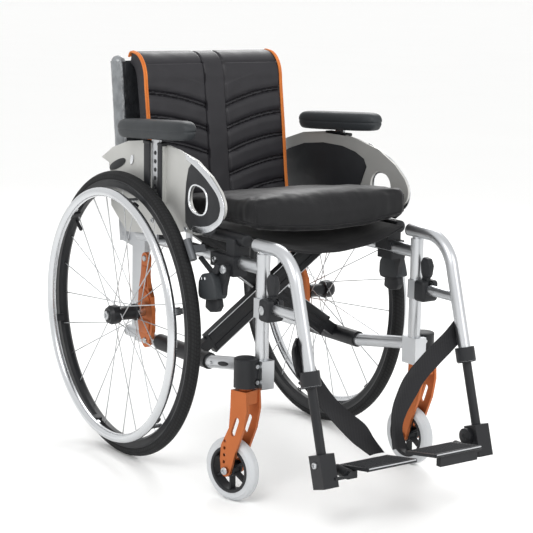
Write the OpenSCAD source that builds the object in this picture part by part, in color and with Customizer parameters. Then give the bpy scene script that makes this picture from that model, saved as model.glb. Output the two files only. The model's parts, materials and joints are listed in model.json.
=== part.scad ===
// Folding manual wheelchair with swing-away leg rests.
// Millimetres. +Z is up, the chair faces -Y, and the occupant's right hand side is -X.
// The origin is on the floor, midway between the rear tyres and the foot plates.

/* [Wheels] */
// Outer radius of the rear tyre
tyre_r = 300; // [298:1:302]
// Distance from the chair's middle to the middle of a rear wheel
wheel_x = 255.7; // [255:0.1:258]
// Radius of the push ring's centre line
ring_r = 258; // [256:1:259]
// Number of spokes in each rear wheel
spoke_count = 24; // [16:4:32]
// Outer radius of the caster tyre
caster_r = 62.5; // [58:0.5:63]
// How far the right caster is turned at rest
right_yaw = 15; // [0:1:20]
// How far the left caster is turned at rest
left_yaw = 4; // [0:1:20]

/* [Frame] */
// Distance from the chair's middle to the middle of the frame tubes
frame_x = 188; // [187:0.5:189]
// Radius of the frame tubes
tube_r = 13; // [12.5:0.5:13]
// Height of the lower side tube
low_z = 240; // [239:0.5:241]
// Height of the seat rails
rail_z = 502; // [500:0.5:503]
// Radius of the seat rails
rail_r = 12.5; // [12:0.5:12.5]

/* [Seat and back] */
// Seat cushion width, depth and thickness
cushion = [378, 398, 70]; // [60:1:400]
// Back cover width
back_w = 342; // [330:1:344]
// Angle of the back posts from upright
back_lean = 6.6; // [5:0.1:8]

/* [Foot rests] */
// Angle of the hanger's straight leg below the horizontal
hanger_slope = 73.7; // [73:0.1:75]
// Length and depth of a foot plate
plate_size = [116, 88]; // [80:1:124]
// Upward tilt of the foot plate's toe edge
plate_tilt = 10; // [0:1:11]

/* [Hidden] */
$fn = 48;
slip = 0.05;          // radial clearance of a running fit
gap = 0.4;            // clearance between moving parts that are not a fit
silver = "#c9cacc";
black = "#26272a";
orange = "#d9743a";

// Front to back places
toe_reach = 690;                          // from the rear axle to the foot plates' toe edge
axle_y = (toe_reach - tyre_r) / 2;        // rear axle
post_y = axle_y - 420;                    // front post and hanger pivot
stem_y = axle_y - 412;                    // caster pivot
bend_y = axle_y - 240;                    // where the lower tube starts to rise
rear_y = axle_y + 34;                     // rear upright
axle_z = tyre_r;

// Front post and side tubes
post_top = 486;
block_z = [228, 283];                     // square foot of the front post
side_z = 458;                             // upper side tube
low_rise = 9.4;                           // slope of the lower tube's front part
rail_front = axle_y - 362;
rail_back = axle_y + 58;

// Cross bars
bar_run = 2 * frame_x;
bar_rise = rail_z - low_z;
bar_len = sqrt(bar_run * bar_run + bar_rise * bar_rise);
bar_angle = atan2(bar_rise, bar_run);
bar_t = 16;                               // thickness of a bar, front to back
bar_below = 27;                           // how far the bar reaches below its centre line
bar_above = 18;                           // and above it
bar_y = axle_y - 168;                     // the plane between the two bars
bar_gap = 2;                              // half of the space between them
lug = 12;                                 // half height of a bar's narrow ends
sleeve_r = 17;                            // bearing sleeve around the lower tube
sleeve_y = [axle_y - 236, axle_y - 42];
bolt_r = 5;

// Rear wheel
tyre_w = 25;
rim_out = 280;
rim_in = 262;
rim_w = 22;
ring_tube = 9.5;
ring_x = wheel_x + 33.3;
tab_count = 6;
hub_in = 221;                             // inner end of the hub
hub_out = 290;                            // outer end of the hub
flange_r = 18;
hub_r = 13.5;
cap_r = 20;
axle_r = 6.35;
axle_in = 187;
button_r = 3.5;

// Caster
trail = 30;
caster_x = 219;
caster_w = 25;
stem_r = 8;
housing_r = 23;
housing_z = [231, 285];
crown_z = [200, 226];
leg_t = 6;
leg_in = 15.5;                            // half of the space between the fork's legs
caster_rim = 46;                          // outer radius of the caster's hub
caster_pin = 4;
housing_top = housing_z[1];

// Hanger
hang_z = 500;
hang_r = 12.5;
bend_r = 75;
bend_start = axle_y - 456.3;
leg_dir = [0, -cos(hanger_slope), -sin(hanger_slope)];
leg_y0 = bend_start - bend_r * sin(hanger_slope);   // start of the straight leg
leg_z0 = hang_z - bend_r * (1 - cos(hanger_slope));
leg_len = 163;
swing_r = 9;                              // pivot that drops into the front post
collar_h = 27;
collar_r = 19;
inner_r = 9;                              // the stem that slides in the hanger's leg
stem_in = 60;                             // how much of the stem is inside
strut_z = 387;
latch_y = axle_y - 450.5;                 // the swing latch's hinge
latch_z = 398.5;
latch_r = 2.5;
stem_foot = 313;                          // from the leg's start to the stem bracket
bracket_len = 62;
bracket = 17;                             // half width of the stem bracket
pivot_x = 144;                            // the foot plate's hinge
pivot_z = 108;
pin_r = 4;
ear_r = 5.5;
disc_y = axle_y - 612;
plate_back = axle_y - toe_reach + plate_size[1] * cos(plate_tilt);
knuckle_y = [axle_y - 642.5, axle_y - 606.5];

// Side guard and arm rest
guard_x = 222;
guard_t = 5;
channel_y = [axle_y - 128, axle_y - 58];
strip_y = [axle_y - 112, axle_y - 84];
pad_y = [axle_y - 245, axle_y + 40];
pad_z = [674, 712];

// Back posts
back_y = axle_y + 92;
back_z = 452;
back_r = 12.5;
back_len = 362;

// Brake
brake_y = axle_y - 336;
brake_z = 450;
brake_x = 211;
shoe_r = 7.5;
shoe_mid = atan2(173, 257);               // where the shoe sits around the tyre
shoe_dist = tyre_r + shoe_r + 6.5;
shoe_len = 44;

module mirrored() { mirror([1, 0, 0]) children(); }
module along_x(x0, x1, y, z, r) {
    translate([x0, y, z]) rotate([0, 90, 0]) cylinder(r = r, h = x1 - x0);
}
module along_y(x, y0, y1, z, r) {
    translate([x, y1, z]) rotate([90, 0, 0]) cylinder(r = r, h = y1 - y0);
}
module box(x, y, z) {
    translate([x[0], y[0], z[0]]) cube([x[1] - x[0], y[1] - y[0], z[1] - z[0]]);
}
// An outline given as (y, z) points, extruded sideways from x0 to x1
module side_plate(x0, x1, points) {
    translate([x0, 0, 0]) rotate([90, 0, 90]) linear_extrude(x1 - x0) polygon(points);
}
// Points of an arc in the (y, z) plane
function arc(cy, cz, r, a0, a1, n) =
    [for (i = [0:n]) let (a = a0 + (a1 - a0) * i / n) [cy + r * cos(a), cz + r * sin(a)]];
function shift_y(points, y) = [for (p = points) [p[0] + y, p[1]]];

// ---- side frame -----------------------------------------------------------
low_end_y = post_y + 4;

module lower_tube() {
    along_y(frame_x, bend_y, axle_y + 84, low_z, tube_r);
    translate([frame_x, bend_y, low_z]) sphere(r = tube_r);
    translate([frame_x, bend_y, low_z]) rotate([90 - low_rise, 0, 0])
        cylinder(r = tube_r, h = (bend_y - low_end_y) / cos(low_rise));
}
module front_post() {
    translate([frame_x, post_y, block_z[0] + 2]) cylinder(r = tube_r, h = post_top - block_z[0] - 2);
    box([frame_x - 14, frame_x + 14], [post_y - 22, post_y + 20], block_z);
}
module rear_upright() {
    difference() {
        side_plate(frame_x - 5, frame_x + 7.8, [
            [rear_y - 28, low_z - 14], [rear_y + 20, low_z - 14], [rear_y + 30, low_z + 20],
            [rear_y + 28, side_z - 28], [rear_y + 70, side_z - 22], [rear_y + 76, side_z + 8],
            [rear_y + 62, side_z + 24],
            [rear_y - 26, side_z + 12], [rear_y - 20, 380], [rear_y - 44, 330], [rear_y - 44, 270]]);
        along_x(frame_x - 10, frame_x + 10, axle_y, axle_z, 10.5);
        along_x(frame_x - 10, frame_x + 10, back_y, back_z, 5 + slip);
    }
}
module guard_brackets() {
    for (y = [axle_y - 75, axle_y - 205]) {
        box([frame_x + 9, guard_x], [y - 9, y + 9], [side_z + 2, side_z + 8]);
        box([guard_x - 5, guard_x], [y - 9, y + 9], [side_z + 2, side_z + 60]);
    }
}
module frame_side() {
    color(silver) difference() {
        union() {
            front_post();
            lower_tube();
            along_y(frame_x, post_y, rear_y + 10, side_z, tube_r);
            rear_upright();
            guard_brackets();
        }
        translate([frame_x, post_y, post_top - 46]) cylinder(r = swing_r + slip, h = 60);
    }
}

module caster_housing() {
    color(black) difference() {
        union() {
            translate([caster_x, stem_y, housing_z[0]])
                cylinder(r = housing_r, h = housing_top - housing_z[0]);
            box([frame_x + 14, caster_x], [stem_y - 20, stem_y + 12], [housing_z[0], housing_top - 1]);
        }
        box([frame_x - 20, frame_x + 14], [stem_y - 40, stem_y + 40], [housing_z[0] - 1, housing_top + 1]);
        translate([caster_x, stem_y, housing_z[0] - 1]) cylinder(r = stem_r + slip, h = 46);
        along_y(caster_x - 12, stem_y - 40, stem_y - 15, housing_z[0] + 11, 6.5);
        along_y(caster_x - 12, stem_y - 40, stem_y - 15, housing_top - 12, 4.5);
    }
}

// Cradles that hold the seat rail, and the block that carries the brake
module clamps() {
    color(black) {
        for (y = [rail_front + 30, axle_y - 30]) cradle(y);
        difference() {
            union() {
                box([frame_x - 16.5, brake_x - 0.5], [brake_y - 16, brake_y + 30], [side_z - 26, side_z + 12]);
                box([brake_x - 14, brake_x - 0.5], [brake_y + 29, brake_y + 66], [side_z - 14, side_z + 12]);
            }
            along_y(frame_x, brake_y - 20, brake_y + 70, side_z, tube_r);
            box([frame_x - 20, frame_x - 10], [brake_y - 20, brake_y + 34], [side_z - 30, side_z - 6]);
        }
        along_x(brake_x - 1, brake_x + 12, brake_y, brake_z - 4, pin_r);
    }
}
module cradle(y) {
    difference() {
        box([frame_x - 17, frame_x + 17], [y - 15, y + 15], [side_z + 6, rail_z + 2]);
        along_y(frame_x, y - 20, y + 20, side_z, tube_r);
        along_y(frame_x, y - 20, y + 20, rail_z, rail_r + gap);
        box([frame_x - rail_r - gap, frame_x + rail_r + gap], [y - 20, y + 20], [rail_z, rail_z + 10]);
    }
}

module axle_plate() {
    color(orange) difference() {
        side_plate(frame_x + 8, frame_x + 17, concat(
            shift_y(arc(-6, 414, 13, 0, 180, 8), axle_y),
            shift_y([[-16, 380], [-20, 352], [-32, 336], [-36, 300], [-36, 262], [-26, 244]], axle_y),
            shift_y(arc(-8, 236, 13, 200, 340, 6), axle_y),
            shift_y([[18, 250], [24, 290], [20, 340], [10, 380]], axle_y)));
        along_x(frame_x, frame_x + 20, axle_y, axle_z, 10.5);
        along_x(frame_x, frame_x + 20, axle_y - 6, 414, 4);
        along_x(frame_x, frame_x + 20, axle_y - 8, 238, 4);
        along_y(frame_x, axle_y - 60, axle_y + 60, low_z, tube_r);
    }
}

// Bolts, the axle's receiver tube and the front post's clamp screws
module bolt_x(x, y, z, r, h) { along_x(x, x + h, y, z, r); }
module fixings() {
    color(silver) {
        difference() {
            along_x(frame_x - 8, hub_in - 2, axle_y, axle_z, 10.5);
            along_x(frame_x - 20, hub_in + 2, axle_y, axle_z, axle_r + slip);
        }
        bolt_x(frame_x + 8, axle_y - 6, 414, 4, 13);
        bolt_x(frame_x + tube_r, axle_y - 8, 238, 4, 8);
        for (z = [housing_z[0] + 11, housing_top - 12])
            along_y(caster_x - 12, stem_y - 23, stem_y - 15, z, 4.2);
        bolt_x(frame_x + tube_r, axle_y - 262, low_z + 4, 3.5, 3.5);
        bolt_x(brake_x - 0.5, brake_y + 50, side_z - 1, 4, 3);
    }
}

// ---- brake ----------------------------------------------------------------
module brake_lever() {
    color(black) difference() {
        side_plate(brake_x, brake_x + 11, concat(
            arc(brake_y, brake_z - 4, 10, -20, 200, 10),
            shift_y([[-340, 424], [-335, 410], [-333, 394], [-326, 386], [-300, 382],
                     [-277, 383], [-273, 394], [-274, 412], [-284, 428], [-306, 436]], axle_y)));
        along_x(brake_x - 2, brake_x + 14, brake_y, brake_z - 4, pin_r + slip);
    }
}
module brake_shoe() {
    y = axle_y - shoe_dist * cos(shoe_mid);
    z = axle_z + shoe_dist * sin(shoe_mid);
    color(black) translate([wheel_x - 5, y, z]) rotate([-shoe_mid, 0, 0]) {
        translate([0, 0, -shoe_len / 2]) cylinder(r = shoe_r, h = shoe_len);
        translate([brake_x + 13 - wheel_x, -5, -7]) cube([wheel_x - brake_x - 8, 6, 14]);
    }
}

// ---- back post, side guard and arm rest -------------------------------------
module back_post() {
    color(silver) translate([frame_x + 2, back_y, back_z]) rotate([-back_lean, 0, 0]) {
        translate([0, 0, 34]) cylinder(r = back_r, h = back_len - 34);
        translate([0, 0, back_len]) sphere(r = back_r);
        translate([6.5, -12, -14]) cube([7, 24, 50]);
        translate([-7, 0, 0]) rotate([0, 90, 0]) cylinder(r = 5, h = 22);
    }
}
guard_line = concat(
    [[140, 614], [91, 640], [26, 659], [-50, 667.5], [-122, 667], [-175, 660], [-244, 646],
     [-299, 620], [-332, 594]],
    arc(-318, 565, 28, 152, 242, 6),
    [[-290, 512], [-246, 500], [-195, 500], [-124, 482], [32, 468], [98, 515], [104, 590], [108, 606]]);
module side_guard() {
    color(silver) difference() {
        union() {
            side_plate(guard_x, guard_x + guard_t, shift_y(guard_line, axle_y));
            box([guard_x, guard_x + 14], [channel_y[0], channel_y[1]], [545, 666]);
        }
        box([guard_x + guard_t + 1, guard_x + 30], [strip_y[0] - gap, strip_y[1] + gap], [530, 680]);
        translate([0, axle_y - 254, 570]) rotate([8, 0, 0]) rotate([0, 90, 0])
            translate([0, 0, guard_x - 10]) finger_hole();
    }
}
module finger_hole() {
    for (s = [-1, 1]) translate([0, s * 5, 0]) cylinder(r = 29, h = 40);
    translate([-29, -5, 0]) cube([58, 10, 40]);
}
module arm_post() {
    color(silver) difference() {
        box([guard_x + guard_t + 1 + gap, guard_x + 12.5], [strip_y[0], strip_y[1]], [550, pad_z[0] + 2]);
        for (z = [562:17:660])
            along_x(guard_x, guard_x + 20, axle_y - 98, z, 3);
    }
}
module arm_pad() {
    color(black) translate([guard_x + 9, 0, 0]) hull() {
        for (y = [pad_y[0] + 24, pad_y[1] - 24])
            translate([0, y, pad_z[0] + 2]) {
                cylinder(r = 22, h = 10, $fn = 32);
                translate([0, 0, 12]) cylinder(r = 26, h = 12, $fn = 32);
                translate([0, 0, 24]) cylinder(r = 18, h = 12, $fn = 32);
            }
    }
}

// ---- hanger, stem, foot plate and strap --------------------------------------
// Places its children with +Z down the hanger's straight leg
module on_leg(d) {
    translate([frame_x, leg_y0 + leg_dir[1] * d, leg_z0 + leg_dir[2] * d])
        rotate([90 + hanger_slope, 0, 0]) children();
}
module hanger() {
    color(silver) {
        difference() {
            union() {
                along_y(frame_x, bend_start, post_y + 22, hang_z, hang_r);
                hanger_bend();
                on_leg(-2) cylinder(r = hang_r - 0.2, h = leg_len + 2);
                on_leg(leg_len - 2) cylinder(r = collar_r, h = collar_h);
                along_y(frame_x, post_y - 44, post_y - 30, strut_z, hang_r + 3);
                along_y(frame_x, leg_y0 - 16, post_y - 32, strut_z, hang_r - 2);
                translate([frame_x, post_y, post_top - 42]) cylinder(r = swing_r, h = 58);
                latch_block();
            }
            on_leg(15) cylinder(r = inner_r + slip, h = leg_len + 60);
            translate([frame_x, post_y, strut_z - 40]) cylinder(r = tube_r + gap, h = 80);
            latch_slot();
        }
        along_x(frame_x - 8, frame_x + 8, latch_y, latch_z, latch_r);
    }
}
// A quarter-like bend from level to the slope of the leg
module hanger_bend() {
    translate([frame_x, bend_start, hang_z - bend_r]) rotate([0, -90, 0])
        rotate_extrude(angle = -hanger_slope) translate([bend_r, 0]) circle(r = hang_r);
}
module latch_block() {
    box([frame_x - 16.5, frame_x + 16.5], [post_y - 38, post_y + 6], [strut_z - 22, strut_z + 16]);
}
module latch_slot() {
    box([frame_x - 5.5, frame_x + 5.5], [post_y - 46, post_y - 21], [strut_z + 2, strut_z + 30]);
}
module latch_lever() {
    color(black) difference() {
        side_plate(frame_x - 5, frame_x + 5, shift_y([
            [-457, 393], [-445, 392.5], [-443, 404], [-447, 418], [-446, 440], [-452, 444],
            [-463, 438], [-461, 418]], axle_y));
        along_x(frame_x - 10, frame_x + 10, latch_y, latch_z, latch_r + slip);
    }
}
module foot_stem() {
    color(black) {
        on_leg(leg_len - stem_in) cylinder(r = inner_r, h = stem_foot - leg_len + stem_in + 1);
        on_leg(stem_foot) translate([-bracket, -bracket, 0])
            cube([2 * bracket, 2 * bracket, bracket_len]);
        along_x(frame_x - 24, frame_x - bracket + 1, disc_y, 124, 16);
        along_y(pivot_x, knuckle_y[0] - 5.5, knuckle_y[1] + 5.5, pivot_z, pin_r);
        for (y = [knuckle_y[0] - 5.5, knuckle_y[1] + 0.5]) {
            along_y(pivot_x, y, y + 5, pivot_z, ear_r);
            box([pivot_x, frame_x - 10], [y, y + 5], [pivot_z - ear_r, pivot_z]);
        }
    }
}
module foot_plate(arm) {
    color(black) difference() {
        union() {
            translate([pivot_x - 6, plate_back, pivot_z + 1]) rotate([-plate_tilt, 0, 0])
                translate([-plate_size[0], -plate_size[1], 0]) cube([plate_size[0], plate_size[1], 6]);
            along_y(pivot_x, knuckle_y[0], knuckle_y[1], pivot_z, 10);
            box([pivot_x - 20, pivot_x], knuckle_y, [pivot_z - 10, pivot_z + 4]);
            if (arm)
                box([pivot_x - 100, pivot_x - 8], [axle_y - 680, axle_y - 668], [pivot_z - 8, pivot_z + 14]);
        }
        along_y(pivot_x, axle_y - 700, axle_y - 590, pivot_z, pin_r + slip);
    }
}
// A loop round the hanger and a band that slants down to the foot plate's rear edge
module calf_strap() {
    color(black) difference() {
        union() {
            on_leg(leg_len - 62) cylinder(r = hang_r + 2.4, h = 56);
            translate([frame_x - 4, axle_y - 556, 0]) rotate([90, 0, 180 + 22])
                linear_extrude(2.4) polygon([
                    [0, 340], [14, 334], [60, 276], [104, 204], [146, 121], [110, 121], [64, 190],
                    [26, 248], [0, 286]]);
        }
        on_leg(0) cylinder(r = hang_r + gap, h = 180);
    }
}

// ---- rear wheel ----------------------------------------------------------
module on_axle(x) { translate([x, axle_y, axle_z]) rotate([0, 90, 0]) children(); }
module tyre() {
    color(black) on_axle(wheel_x) rotate_extrude() difference() {
        translate([tyre_r - tyre_w / 2, 0]) circle(r = tyre_w / 2);
        translate([rim_out - 40, -20]) square([40, 40]);
    }
}
module rim() {
    color(black) on_axle(wheel_x) rotate_extrude() polygon([
        [rim_out, -rim_w / 2], [rim_out, rim_w / 2], [rim_in + 5, rim_w / 2], [rim_in, 5],
        [rim_in, -5], [rim_in + 5, -rim_w / 2]]);
}
module push_ring() {
    color(silver) {
        on_axle(ring_x) rotate_extrude() translate([ring_r, 0]) circle(r = ring_tube);
        for (i = [0:tab_count - 1]) translate([0, axle_y, axle_z]) rotate([i * 360 / tab_count + 18, 0, 0])
            box([wheel_x + rim_w / 2, ring_x], [-6, 6], [ring_r + 5, ring_r + 8.5]);
    }
}
module spokes() {
    half = spoke_count / 2;
    color(silver) for (side = [0, 1], i = [0:half - 1]) {
        x0 = side == 0 ? hub_in + 3 : hub_out - 22;
        x1 = wheel_x + (side == 0 ? -3 : 3);
        r0 = side == 0 ? flange_r - 3 : flange_r;
        cant = (i % 2 == 0 ? 1 : -1) * 62;
        a = i * 360 / half + side * 180 / half;
        aside = (i % 2) * 3 - 1.5;
        spoke([x0 + aside, r0, a + cant], [x1 + aside, rim_in, a]);
    }
}
// A straight spoke between two places given as x, radius and angle about the axle
module spoke(from, to) {
    p = [from[0], from[1] * cos(from[2]), from[1] * sin(from[2])];
    q = [to[0], to[1] * cos(to[2]), to[1] * sin(to[2])];
    d = q - p;
    translate([p[0], axle_y + p[1], axle_z + p[2]])
        rotate([0, acos(d[2] / norm(d)), atan2(d[1], d[0])]) cylinder(r = 1.1, h = norm(d), $fn = 16);
}
module hub() {
    color(black) on_axle(0) rotate_extrude() polygon([
        [axle_r + slip, hub_in], [12, hub_in], [flange_r, hub_in + 1], [flange_r, hub_in + 5],
        [hub_r + 1, hub_in + 8], [hub_r, hub_out - 26], [flange_r + 1, hub_out - 24],
        [cap_r, hub_out - 18], [cap_r, hub_out - 7], [cap_r - 4, hub_out], [axle_r + slip, hub_out]]);
}
module axle() {
    color(silver) difference() {
        union() {
            along_x(axle_in, hub_out, axle_y, axle_z, axle_r);
            along_x(hub_out + gap, hub_out + 4.5, axle_y, axle_z, 9);
            along_x(hub_out - 1, hub_out + 1, axle_y, axle_z, axle_r);
        }
        along_x(hub_out - 30, hub_out + 6, axle_y, axle_z, button_r + slip);
    }
}
module axle_button() {
    color(silver) along_x(hub_out - 24, hub_out + 8, axle_y, axle_z, button_r);
}

// ---- caster ----------------------------------------------------------------
module caster_at(yaw) { translate([caster_x, stem_y, 0]) rotate([0, 0, yaw]) children(); }
fork_line = concat(
    [[-20, crown_z[1]], [-22, 190], [-14, 150], [6, 100], [trail - 13, 64]],
    arc(trail, caster_r, 12, 180, 340, 8),
    [[trail + 14, 84], [trail + 12, 112], [22, 150], [19, 190], [18, crown_z[1]]]);
module caster_fork(yaw) {
    color(orange) caster_at(yaw) {
        difference() {
            union() {
                for (x = [-leg_in - leg_t, leg_in]) side_plate(x, x + leg_t, fork_line);
                box([-leg_in - 1, leg_in + 1], [-19, 17], crown_z);
                translate([0, 0, crown_z[1] - 1]) cylinder(r = stem_r, h = 46);
                translate([0, 0, crown_z[1] - 1]) cylinder(r = 14, h = 4.5);
                along_x(-leg_in - leg_t - 3, leg_in + leg_t + 3, trail, caster_r, caster_pin);
            }
            fork_slot();
            for (i = [0:3]) along_x(-40, 40, trail + 4 - i * 0.6, caster_r + 17 + i * 14, 3.2);
        }
    }
}
module fork_slot() {
    side_plate(-40, 40, concat(arc(2, 168, 5.5, 20, 200, 8), arc(12, 140, 5.5, 200, 380, 8)));
}
module caster_tyre(yaw) {
    color("#d3d5d6") caster_at(yaw) translate([0, trail, caster_r]) rotate([0, 90, 0])
        rotate_extrude() polygon([
            [caster_rim, -caster_w / 2 + 1], [caster_r - 7, -caster_w / 2], [caster_r - 2, -caster_w / 2 + 4],
            [caster_r, -5], [caster_r, 5], [caster_r - 2, caster_w / 2 - 4],
            [caster_r - 7, caster_w / 2], [caster_rim, caster_w / 2 - 1]]);
}
module caster_hub(yaw) {
    color(black) caster_at(yaw) translate([0, trail, caster_r]) rotate([0, 90, 0]) {
        rotate_extrude() {
            translate([caster_pin + slip, -caster_w / 2 + 1]) square([8, caster_w - 2]);
            translate([caster_rim - 6, -caster_w / 2 + 1]) square([6, caster_w - 2]);
        }
        for (a = [0:60:300]) rotate([0, 0, a]) translate([10, -2, -7]) cube([caster_rim - 14, 4, 14]);
    }
}

// ---- cross bars, seat and back ---------------------------------------------
// A bar in the plane of the page, from the lower tube up to a seat rail
module cross_bar(y0) {
    difference() {
        union() {
            translate([-frame_x, y0 + bar_t, low_z]) rotate([90, 0, 0]) rotate([0, 0, bar_angle]) {
                translate([40, -bar_below, 0]) cube([bar_len - 88, bar_below + bar_above, bar_t]);
                translate([0, -lug, 0]) cube([bar_len, 2 * lug, bar_t]);
            }
            along_y(-frame_x, sleeve_y[0], sleeve_y[1], low_z, sleeve_r);
            along_y(frame_x, rail_front, rail_back, rail_z, rail_r);
        }
        along_y(-frame_x, -500, 500, low_z, tube_r + slip);
    }
}
module front_cross_bar() {
    color(black) difference() {
        cross_bar(bar_y - bar_gap - bar_t);
        along_y(0, bar_y - 60, bar_y + 60, (low_z + rail_z) / 2, bolt_r);
    }
}
module rear_cross_bar() {
    color(black) mirrored() difference() {
        cross_bar(bar_y + bar_gap);
        along_y(0, bar_y - 60, bar_y + 60, (low_z + rail_z) / 2, bolt_r + slip);
    }
}
module cross_bolt() {
    color(silver) {
        along_y(0, bar_y - bar_gap - bar_t - 6, bar_y + bar_gap + bar_t + 6, (low_z + rail_z) / 2, bolt_r);
        along_y(0, bar_y - bar_gap - bar_t - 6, bar_y - bar_gap - bar_t, (low_z + rail_z) / 2, 9);
    }
}
cushion_fall = 42;                        // how much thinner the cushion is at the back
sling_half = frame_x - rail_r - 0.8;
sling_sag = 30;
module seat_sling() {
    top = [for (i = [-8:8]) let (x = sling_half * i / 8)
        [x, rail_z + 12 - sling_sag * (1 - pow(x / sling_half, 2))]];
    low = [for (i = [8:-1:-8]) let (x = sling_half * i / 8)
        [x, rail_z + 8.5 - sling_sag * (1 - pow(x / sling_half, 2))]];
    color(black) translate([0, axle_y + 38, 0]) rotate([90, 0, 0]) linear_extrude(430)
        polygon(concat(top, low));
}
module seat_cushion() {
    y = axle_y - 390;
    z = rail_z + rail_r + 1;
    color(black) side_plate(-cushion[0] / 2, cushion[0] / 2, [
        [y, z], [y + cushion[1], z], [y + cushion[1], z + cushion[2] - cushion_fall], [y, z + cushion[2]]]);
}
back_line = concat(
    [[13, 526], [21, 577], [32, 661], [39, 720], [47, 770]],
    arc(107, 779, 60, 172, 90, 6),
    [[112, 812], [96, 806], [84, 786], [72, 720], [64, 661], [54, 577], [47, 522]]);
module back_cover() {
    color(black) side_plate(-back_w / 2, back_w / 2, shift_y(back_line, axle_y));
}
// Bands that run from one back post to the other, behind the cover
module back_straps() {
    color(black) for (i = [0:4]) {
        z = 548 + i * 52;
        y = back_y + (z - back_z) * tan(back_lean);
        box([-frame_x + back_r - 1.6, frame_x - back_r + 1.6], [y - 5, y - 2], [z, z + 42]);
    }
}

mirrored() frame_side();  // right_frame
mirrored() caster_housing();  // right_caster_housing
mirrored() clamps();  // right_clamps
mirrored() axle_plate();  // right_axle_plate
mirrored() fixings();  // right_fixings
mirrored() brake_lever();  // right_brake_lever
mirrored() brake_shoe();  // right_brake_shoe
mirrored() back_post();  // right_back_post
mirrored() side_guard();  // right_side_guard
mirrored() arm_post();  // right_arm_post
mirrored() arm_pad();  // right_arm_pad
mirrored() hanger();  // right_hanger
mirrored() latch_lever();  // right_latch_lever
mirrored() foot_stem();  // right_foot_stem
mirrored() foot_plate(false);  // right_foot_plate
mirrored() calf_strap();  // right_calf_strap
mirrored() tyre();  // right_tyre
mirrored() rim();  // right_rim
mirrored() push_ring();  // right_push_ring
mirrored() spokes();  // right_spokes
mirrored() hub();  // right_hub
mirrored() axle();  // right_axle
mirrored() axle_button();  // right_axle_button
mirrored() caster_fork(-right_yaw);  // right_caster_fork
mirrored() caster_tyre(-right_yaw);  // right_caster_tyre
mirrored() caster_hub(-right_yaw);  // right_caster_hub
frame_side();  // left_frame
caster_housing();  // left_caster_housing
clamps();  // left_clamps
axle_plate();  // left_axle_plate
fixings();  // left_fixings
brake_lever();  // left_brake_lever
brake_shoe();  // left_brake_shoe
back_post();  // left_back_post
side_guard();  // left_side_guard
arm_post();  // left_arm_post
arm_pad();  // left_arm_pad
hanger();  // left_hanger
latch_lever();  // left_latch_lever
foot_stem();  // left_foot_stem
foot_plate(true);  // left_foot_plate
calf_strap();  // left_calf_strap
tyre();  // left_tyre
rim();  // left_rim
push_ring();  // left_push_ring
spokes();  // left_spokes
hub();  // left_hub
axle();  // left_axle
axle_button();  // left_axle_button
caster_fork(left_yaw);  // left_caster_fork
caster_tyre(left_yaw);  // left_caster_tyre
caster_hub(left_yaw);  // left_caster_hub
front_cross_bar();
rear_cross_bar();
cross_bolt();
seat_sling();
seat_cushion();
back_cover();
back_straps();
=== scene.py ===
"""Looks of a folding manual wheelchair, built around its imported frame.

Metres, +Z up. The chair faces -Y and the occupant's right hand side is -X. Heights are above the
floor, and distances from front to back are given from the rear axle, in millimetres.
"""

import json
import math

import bpy
import numpy as np
from mathutils import Matrix, Vector, noise
from mathutils.bvhtree import BVHTree


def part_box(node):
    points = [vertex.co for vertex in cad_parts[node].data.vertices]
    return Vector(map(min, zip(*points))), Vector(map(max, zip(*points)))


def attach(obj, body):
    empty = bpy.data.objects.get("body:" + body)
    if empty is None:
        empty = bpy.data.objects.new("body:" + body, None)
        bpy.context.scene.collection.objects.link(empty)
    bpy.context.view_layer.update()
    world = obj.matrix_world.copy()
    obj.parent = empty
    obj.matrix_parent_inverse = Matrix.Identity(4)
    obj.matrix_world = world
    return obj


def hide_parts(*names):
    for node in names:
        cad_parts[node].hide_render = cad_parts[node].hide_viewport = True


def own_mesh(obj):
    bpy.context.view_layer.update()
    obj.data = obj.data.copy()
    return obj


bl_info = {
    "name": "Manual Wheelchair",
    "version": (1, 0, 0),
    "blender": (4, 5, 0),
    "location": "3D View > Sidebar > Wheelchair",
    "description": "Soft goods, trim, materials and studio for a folding wheelchair",
    "category": "Add Mesh",
}

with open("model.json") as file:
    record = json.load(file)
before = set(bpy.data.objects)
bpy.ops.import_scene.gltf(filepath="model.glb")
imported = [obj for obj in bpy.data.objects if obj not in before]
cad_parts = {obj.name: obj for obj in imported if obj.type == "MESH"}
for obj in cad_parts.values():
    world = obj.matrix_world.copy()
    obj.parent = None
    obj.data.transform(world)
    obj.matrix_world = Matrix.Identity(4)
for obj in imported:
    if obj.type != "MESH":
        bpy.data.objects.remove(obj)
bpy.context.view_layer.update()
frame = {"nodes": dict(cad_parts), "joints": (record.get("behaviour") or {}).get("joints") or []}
TYRE_LOW, TYRE_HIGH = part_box("right_tyre")
AXLE_Y = (TYRE_LOW.y + TYRE_HIGH.y) / 2
AXLE_Z = (TYRE_LOW.z + TYRE_HIGH.z) / 2
SIDES = (("right", -1), ("left", 1))
MATERIALS = {}


def at(x, y, z):
    """A place from millimetres: across, behind the rear axle, above the floor."""
    return Vector((x / 1000, AXLE_Y + y / 1000, z / 1000))


# ---- modelling helpers -------------------------------------------------------

def only(obj=None):
    """Selects one object, or nothing."""
    if bpy.context.object and bpy.context.object.mode != "OBJECT":
        bpy.ops.object.mode_set(mode="OBJECT")
    bpy.ops.object.select_all(action="DESELECT")
    if obj:
        obj.select_set(True)
        bpy.context.view_layer.objects.active = obj


def apply_modifier(obj, kind, **settings):
    """Adds a modifier with its settings and applies it."""
    only(obj)
    modifier = obj.modifiers.new(kind.title(), kind)
    for key, value in settings.items():
        setattr(modifier, key, value)
    bpy.ops.object.modifier_apply(modifier=modifier.name)
    return obj


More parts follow.
